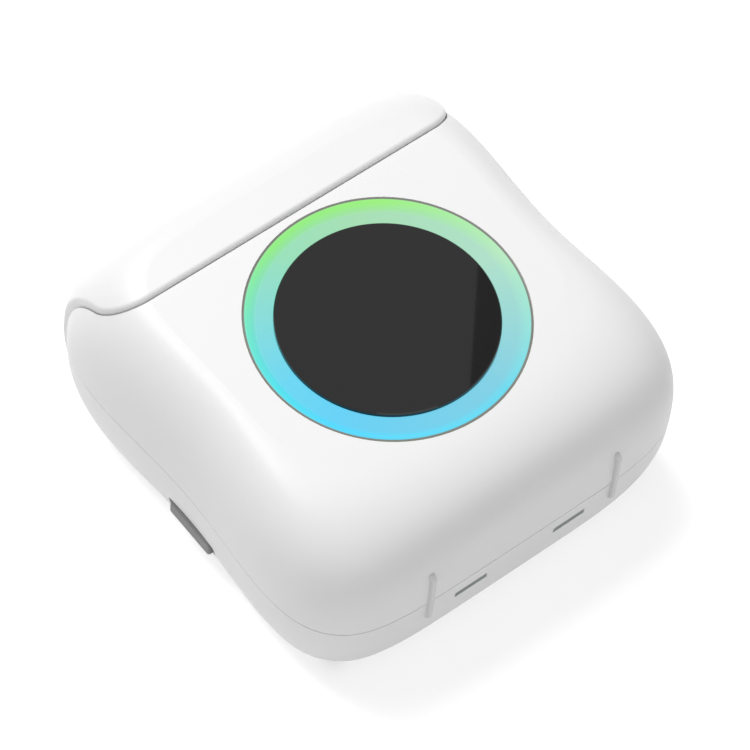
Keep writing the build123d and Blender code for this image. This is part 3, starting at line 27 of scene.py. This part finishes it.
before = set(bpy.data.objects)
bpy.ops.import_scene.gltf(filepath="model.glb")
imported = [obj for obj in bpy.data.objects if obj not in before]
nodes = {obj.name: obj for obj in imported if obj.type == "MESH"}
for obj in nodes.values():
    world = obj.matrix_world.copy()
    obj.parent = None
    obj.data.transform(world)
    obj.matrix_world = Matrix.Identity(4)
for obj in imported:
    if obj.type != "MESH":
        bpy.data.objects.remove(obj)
box_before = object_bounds()

# Grain of the surfaces. The first four are noise cells to the metre
GRAIN = 900
RING_GRAIN = 1500
FOIL_GRAIN = 300
STAGE_GRAIN = 60
GRAIN_DETAIL = 3.0
GRAIN_RANGE = (0.25, 0.75)      # where nearly all of the noise lies
GRAIN_DEPTH = 0.0002            # metres
GRAIN_GLOSS = 0.1               # share by which the grain changes a roughness

# White plastic of the casing and the cover
CASING_WHITE = (0.86, 0.86, 0.86)
CASING_TINT = 0.006
CASING_BUMP = 0.015

# Light ring, from the window's rim outwards
window_low, window_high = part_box("window_disc")
RING_Y = (window_low.y + window_high.y) / 2
WINDOW_RADIUS = (window_high.y - window_low.y) / 2
RING_SLOPE_FOOT = WINDOW_RADIUS + 0.0027
RING_SLOPE_TOP = WINDOW_RADIUS + 0.0043
RING_EDGE = WINDOW_RADIUS + 0.005       # beyond it the ring is in the gap, which is unlit; there a grey glow paints the gap's shade
RING_EDGE_WIDTH = 0.0001
RING_GAP_PAINTED_SHADE = (125, 128, 120)            # painted shade of the gap beyond the edge, a grey glow, as the eye sees it, 0 to 255
RING_PLASTIC = (0.02, 0.02, 0.02)
RING_ROUGH = (0.35, 0.45)
RING_GLOSS = 0.15

# Colours of the ring's light as the eye sees them, 0 to 255. Each has its share of the way round, which
# starts at -X and goes through -Y, +X and +Y
RING_INNER = [
    (0.0, (88, 206, 235)),
    (0.08, (84, 202, 240)),
    (0.3, (122, 204, 225)),
    (0.5, (170, 220, 197)),
    (0.68, (161, 218, 174)),
    (0.8, (143, 218, 180)),
]
RING_OUTER = [
    (0.0, (72, 224, 230)),
    (0.08, (70, 212, 250)),
    (0.3, (100, 214, 235)),
    (0.49, (180, 232, 190)),
    (0.65, (152, 238, 122)),
    (0.8, (142, 235, 128)),
]

# Floor, sky and lamps
WHITE = (1, 1, 1, 1)
FLOOR_SIZE = 8
FLOOR_COLOUR = (0.8, 0.8, 0.8)
FLOOR_ROUGH = 0.9
FLOOR_LIFT = 0.55               # glow that makes the floor white where it is seen
STAGE_TINT = 0.01
SKY_LIGHT = 0.36                # what the sky gives as light; where it is seen it is 1
LAMP_TARGET = (box_before[0] + box_before[1]) / 2
KEY_LAMP = {"place": (-0.06, 0.6, 1.05), "size": 0.7, "power": 11}
FILL_LAMP = {"place": (-0.3, -0.9, 0.3), "size": 0.8, "power": 1.4}

# Dark card that the window mirrors along one edge
FLAG_PLACE = (0.2512, 0.1803, 0.5)
FLAG_SIZE = (0.16, 0.06)
FLAG_TURN = 48.1                # degrees
FLAG_COLOUR = (0.05, 0.05, 0.05)
FLAG_GLOW = 0.4

# Camera, found by fitting the printer's outlines to the photograph. Pixels are those of the photograph
PHOTO_WIDTH = 750               # and height
TARGET_PIXEL_ACROSS = 373.036
TARGET_PIXEL_DOWN = 369.93
PIXELS_PER_METRE = 5745         # at the target
CAMERA_TARGET = (0, -0.0011, 0.020)
CAMERA_DISTANCE = 0.729963
CAMERA_AZIMUTH = -43.228        # degrees, like the next two
CAMERA_ELEVATION = 57.266
CAMERA_ROLL = 6.234
SENSOR_WIDTH = 36.0             # millimetres
CAMERA_REACH = 20


# Building node materials

def feed(tree, made, inputs):
    """Gives a node's inputs their values, or links them to the results of other nodes."""
    for name, value in inputs.items():
        if isinstance(value, bpy.types.NodeSocket):
            tree.links.new(value, made.inputs[name])
        else:
            made.inputs[name].default_value = value


def node(tree, kind, inputs=None, **properties):
    """A new node with its properties set and its inputs fed."""
    made = tree.nodes.new(kind)
    for name, value in properties.items():
        setattr(made, name, value)
    feed(tree, made, inputs or {})
    return made


def shader(name):
    """A new node material: (material, node tree, principled shader)."""
    mat = bpy.data.materials.new(name)
    mat.use_nodes = True
    tree = mat.node_tree
    return mat, tree, tree.nodes["Principled BSDF"]


def surface_point(tree):
    """The point on the surface, in the object's own space."""
    return node(tree, "ShaderNodeTexCoord").outputs["Object"]


def noise(tree, scale):
    """Fine noise over the surface."""
    inputs = {"Vector": surface_point(tree), "Scale": scale, "Detail": GRAIN_DETAIL}
    return node(tree, "ShaderNodeTexNoise", inputs).outputs["Fac"]


def calculate(tree, operation, *values):
    """The result of one operation on numbers or on other nodes' results."""
    return node(tree, "ShaderNodeMath", dict(enumerate(values)), operation=operation).outputs[0]


def remap(tree, value, old, new=(0, 1)):
    """The value brought from the old range to the new one."""
    inputs = {"Value": value, "From Min": old[0], "From Max": old[1], "To Min": new[0], "To Max": new[1]}
    return node(tree, "ShaderNodeMapRange", inputs).outputs["Result"]


def mix(tree, share, first, second):
    """A blend that goes from the first colour to the second as the share goes from 0 to 1."""
    inputs = {"Factor": share, "A": first, "B": second}
    return node(tree, "ShaderNodeMix", inputs, data_type="RGBA").outputs["Result"]


def tint(tree, colour, fac, amount):
    """The colour, made a little lighter and darker by the noise."""
    darker = (*[c * (1 - amount) for c in colour], 1)
    lighter = (*[min(1, c * (1 + amount)) for c in colour], 1)
    return mix(tree, fac, darker, lighter)


def linear(colour):
    """A colour as the eye sees it, 0 to 255, turned into the shader's by the sRGB curve."""
    shares = [c / 255 for c in colour]
    return (*[s / 12.92 if s <= 0.04045 else ((s + 0.055) / 1.055) ** 2.4 for s in shares], 1)


def ring_ramp(tree, turn, stops):
    """A colour that runs through the stops and back to the first as the turn goes from 0 to 1."""
    made = node(tree, "ShaderNodeValToRGB", {"Fac": turn})
    closed = [*stops, (1.0, stops[0][1])]
    band = made.color_ramp
    while len(band.elements) < len(closed):
        band.elements.new(0.5)
    for element, (at, colour) in zip(band.elements, closed):
        element.position = at
        element.color = linear(colour)
    return made.outputs["Color"]


# Materials of the printer

def finish(name, colour, rough, metal=0.0, scale=GRAIN, amount=0.03, bump=0.02, coat=0.0, specular=0.5):
    """A plain finish with a fine grain in its colour, gloss and surface."""
    mat, tree, bsdf = shader(name)
    fac = noise(tree, scale)
    gloss = (rough * (1 - GRAIN_GLOSS), min(1, rough * (1 + GRAIN_GLOSS)))
    feed(tree, bsdf, {
        "Base Color": tint(tree, colour, fac, amount),
        "Roughness": remap(tree, fac, GRAIN_RANGE, gloss),
        "Metallic": metal,
        "Coat Weight": coat,
        "Specular IOR Level": specular,
    })
    if bump:
        relief = node(tree, "ShaderNodeBump", {"Strength": bump, "Distance": GRAIN_DEPTH, "Height": fac})
        feed(tree, bsdf, {"Normal": relief.outputs["Normal"]})
    return mat


def ring_glow():
    """The lit ring: green at the cover's side, blue opposite, and deeper on its outer slope; beyond its
    edge a grey glow paints the shade of the gap.
    """
    mat, tree, bsdf = shader("ring_light")
    parts = node(tree, "ShaderNodeSeparateXYZ", {"Vector": surface_point(tree)})
    x = parts.outputs["X"]
    y = calculate(tree, "SUBTRACT", parts.outputs["Y"], RING_Y)
    squares = calculate(tree, "MULTIPLY_ADD", x, x, calculate(tree, "MULTIPLY", y, y))
    radius = calculate(tree, "SQRT", squares)
    turn = remap(tree, calculate(tree, "ARCTAN2", y, x), (-math.pi, math.pi))
    slope = remap(tree, radius, (RING_SLOPE_FOOT, RING_SLOPE_TOP))
    # Share of the grey glow that paints the gap's shade beyond the ring's edge
    painted_shade_share = remap(tree, radius, (RING_EDGE - RING_EDGE_WIDTH, RING_EDGE))
    lit = mix(tree, slope, ring_ramp(tree, turn, RING_INNER), ring_ramp(tree, turn, RING_OUTER))
    feed(tree, bsdf, {
        "Base Color": (*RING_PLASTIC, 1),
        "Roughness": remap(tree, noise(tree, RING_GRAIN), GRAIN_RANGE, RING_ROUGH),
        "Specular IOR Level": RING_GLOSS,
        "Emission Color": mix(tree, painted_shade_share, lit, linear(RING_GAP_PAINTED_SHADE)),
        "Emission Strength": 1.0,
    })
    return mat


def dress(mat, *names):
    """Gives the named pieces one material."""
    for name in names:
        data = nodes[name].data
        data.materials.clear()
        data.materials.append(mat)
        for face in data.polygons:
            face.material_index = 0


# outside
dress(
    finish("white_casing", CASING_WHITE, 0.45, amount=CASING_TINT, bump=CASING_BUMP),
    "upper_shell", "base_shell",
)
dress(finish("white_cover", CASING_WHITE, 0.42, amount=CASING_TINT, bump=CASING_BUMP), "paper_cover")
dress(
    finish("foot_white", (0.74, 0.74, 0.74), 0.5, amount=0.01),
    "standing_foot_left", "standing_foot_right",
)
dress(
    finish("window_gloss", (0.004, 0.004, 0.004), 0.02, amount=0.02, bump=0.0, specular=0.38),
    "window_disc",
)
dress(finish("key_grey", (0.2, 0.2, 0.2), 0.5), "power_key")
dress(ring_glow(), "light_ring")

# plastics and paper inside
dress(finish("moulded_black", (0.02, 0.02, 0.022), 0.5, amount=0.08), "chassis", "platen_carrier")
dress(finish("label_paper", (0.86, 0.86, 0.83), 0.8), "paper_roll")
dress(finish("core_card", (0.5, 0.37, 0.2), 0.9, amount=0.1, bump=0.1), "paper_core")
dress(finish("platen_rubber", (0.02, 0.02, 0.02), 0.75, amount=0.1, bump=0.05), "platen_sleeve")
dress(finish("natural_acetal", (0.78, 0.76, 0.68), 0.4), "platen_gear", "idler_gear", "reduction_gear")
dress(finish("bush_grey", (0.1, 0.1, 0.105), 0.5), "platen_bushes")
dress(finish("foam_tape", (0.04, 0.04, 0.045), 0.95, bump=0.2), "battery_pad")

# metals
dress(
    finish("ground_steel", (0.6, 0.6, 0.62), 0.28, metal=1.0),
    "platen_shaft", "hinge_pins", "idler_axle", "reduction_axle", "axle_clips",
    "motor_shaft", "head_pivot_pin", "head_springs", "tear_strip", "charging_socket",
)
dress(
    finish("plated_steel", (0.38, 0.38, 0.4), 0.35, metal=1.0),
    "case_screws", "chassis_screws", "main_board_screws",
    "light_board_screws", "carrier_screws", "motor_screws",
)
dress(finish("plated_can", (0.5, 0.51, 0.53), 0.38, metal=1.0), "motor_body")
dress(finish("turned_brass", (0.7, 0.5, 0.2), 0.3, metal=1.0), "motor_pinion")
dress(finish("milled_aluminium", (0.7, 0.7, 0.72), 0.35, metal=1.0), "head_plate", "board_capacitors")
dress(finish("pouch_foil", (0.5, 0.5, 0.52), 0.3, metal=0.7, scale=FOIL_GRAIN, bump=0.1), "battery_pouch")

# boards, their parts and the wires
dress(finish("glazed_ceramic", (0.7, 0.67, 0.6), 0.15, coat=0.4), "head_ceramic")
dress(finish("amber_film", (0.5, 0.16, 0.02), 0.3), "head_flex")
dress(finish("solder_mask", (0.01, 0.09, 0.035), 0.35, amount=0.15), "main_board")
dress(finish("white_mask", (0.75, 0.75, 0.72), 0.4), "light_board")
dress(finish("clear_resin", (0.9, 0.85, 0.5), 0.2), "light_lamps")
dress(finish("chip_resin", (0.015, 0.015, 0.016), 0.55), "controller_chip", "paper_sensor", "key_switch")
dress(finish("tinned_can", (0.55, 0.56, 0.57), 0.3, metal=1.0), "wireless_module")
dress(finish("nylon", (0.75, 0.72, 0.6), 0.5), "board_connectors", "switch_plunger")
dress(finish("red_insulation", (0.4, 0.01, 0.01), 0.5), "battery_lead")
dress(finish("pale_insulation", (0.7, 0.7, 0.7), 0.5), "motor_lead", "light_lead")


# Floor, sky and lamps

def seen(tree):
    """1 for the rays that show a background, 0 for those that only carry light."""
    path = node(tree, "ShaderNodeLightPath").outputs
    mirrored = calculate(tree, "MAXIMUM", path["Is Glossy Ray"], path["Is Transmission Ray"])
    return calculate(tree, "MAXIMUM", path["Is Camera Ray"], mirrored)


def floor():
    """A pale floor that shows white round the printer and keeps its shadow."""
    bpy.ops.mesh.primitive_plane_add(size=FLOOR_SIZE, location=(0, 0, 0))
    plane = bpy.context.object
    plane.name = "floor"
    mat, tree, bsdf = shader("pale_floor")
    feed(tree, bsdf, {
        "Base Color": tint(tree, FLOOR_COLOUR, noise(tree, STAGE_GRAIN), STAGE_TINT),
        "Roughness": FLOOR_ROUGH,
        "Emission Color": WHITE,
        "Emission Strength": calculate(tree, "MULTIPLY", seen(tree), FLOOR_LIFT),
    })
    plane.data.materials.append(mat)


def flag():
    """A dark card that darkens one edge of the window's reflection, and nothing else."""
    turn = (0, 0, math.radians(FLAG_TURN))
    bpy.ops.mesh.primitive_plane_add(size=1, location=FLAG_PLACE, rotation=turn)
    card = bpy.context.object
    card.name = "flag"
    card.scale = (*FLAG_SIZE, 1)
    mat, tree, bsdf = shader("flag_grey")
    feed(tree, bsdf, {
        "Base Color": tint(tree, FLAG_COLOUR, noise(tree, STAGE_GRAIN), STAGE_TINT),
        "Emission Color": WHITE,
        "Emission Strength": FLAG_GLOW,
    })
    card.data.materials.append(mat)
    card.visible_camera = False
    card.visible_diffuse = False
    card.visible_shadow = False


def studio():
    """An even pale sky that shows as white and gives less light than it shows."""
    world = bpy.data.worlds.new("studio")
    bpy.context.scene.world = world
    world.use_nodes = True
    tree = world.node_tree
    strength = calculate(tree, "MULTIPLY_ADD", seen(tree), 1 - SKY_LIGHT, SKY_LIGHT)
    feed(tree, tree.nodes["Background"], {"Color": WHITE, "Strength": strength})


def area_lamp(name, place, size, power):
    """A square lamp that shines on the printer."""
    data = bpy.data.lights.new(name, "AREA")
    data.shape = "SQUARE"
    data.size = size
    data.energy = power
    made = bpy.data.objects.new(name, data)
    bpy.context.collection.objects.link(made)
    made.location = place
    made.rotation_euler = (LAMP_TARGET - Vector(place)).to_track_quat("-Z", "Y").to_euler()


floor()
studio()
flag()
area_lamp("key_lamp", **KEY_LAMP)
area_lamp("fill_lamp", **FILL_LAMP)


# Camera

def camera():
    """The camera that the photograph was taken with."""
    azimuth = math.radians(CAMERA_AZIMUTH)
    elevation = math.radians(CAMERA_ELEVATION)
    roll = math.radians(CAMERA_ROLL)
    level = Vector((math.sin(azimuth), -math.cos(azimuth), 0))
    back = math.cos(elevation) * level + math.sin(elevation) * Vector((0, 0, 1))
    right = Vector((math.cos(azimuth), math.sin(azimuth), 0))
    up = back.cross(right)
    across = math.cos(roll) * right + math.sin(roll) * up
    upward = math.cos(roll) * up - math.sin(roll) * right
    data = bpy.data.cameras.new("camera")
    data.sensor_width = SENSOR_WIDTH
    data.lens = PIXELS_PER_METRE * CAMERA_DISTANCE * SENSOR_WIDTH / PHOTO_WIDTH
    data.shift_x = (PHOTO_WIDTH / 2 - TARGET_PIXEL_ACROSS) / PHOTO_WIDTH
    data.shift_y = (TARGET_PIXEL_DOWN - PHOTO_WIDTH / 2) / PHOTO_WIDTH
    data.clip_end = CAMERA_REACH
    made = bpy.data.objects.new("camera", data)
    bpy.context.collection.objects.link(made)
    turn = Matrix((across, upward, back)).transposed().to_4x4()
    made.matrix_world = Matrix.Translation(Vector(CAMERA_TARGET) + back * CAMERA_DISTANCE) @ turn
    bpy.context.scene.camera = made


camera()
bpy.context.scene.view_settings.view_transform = "Standard"
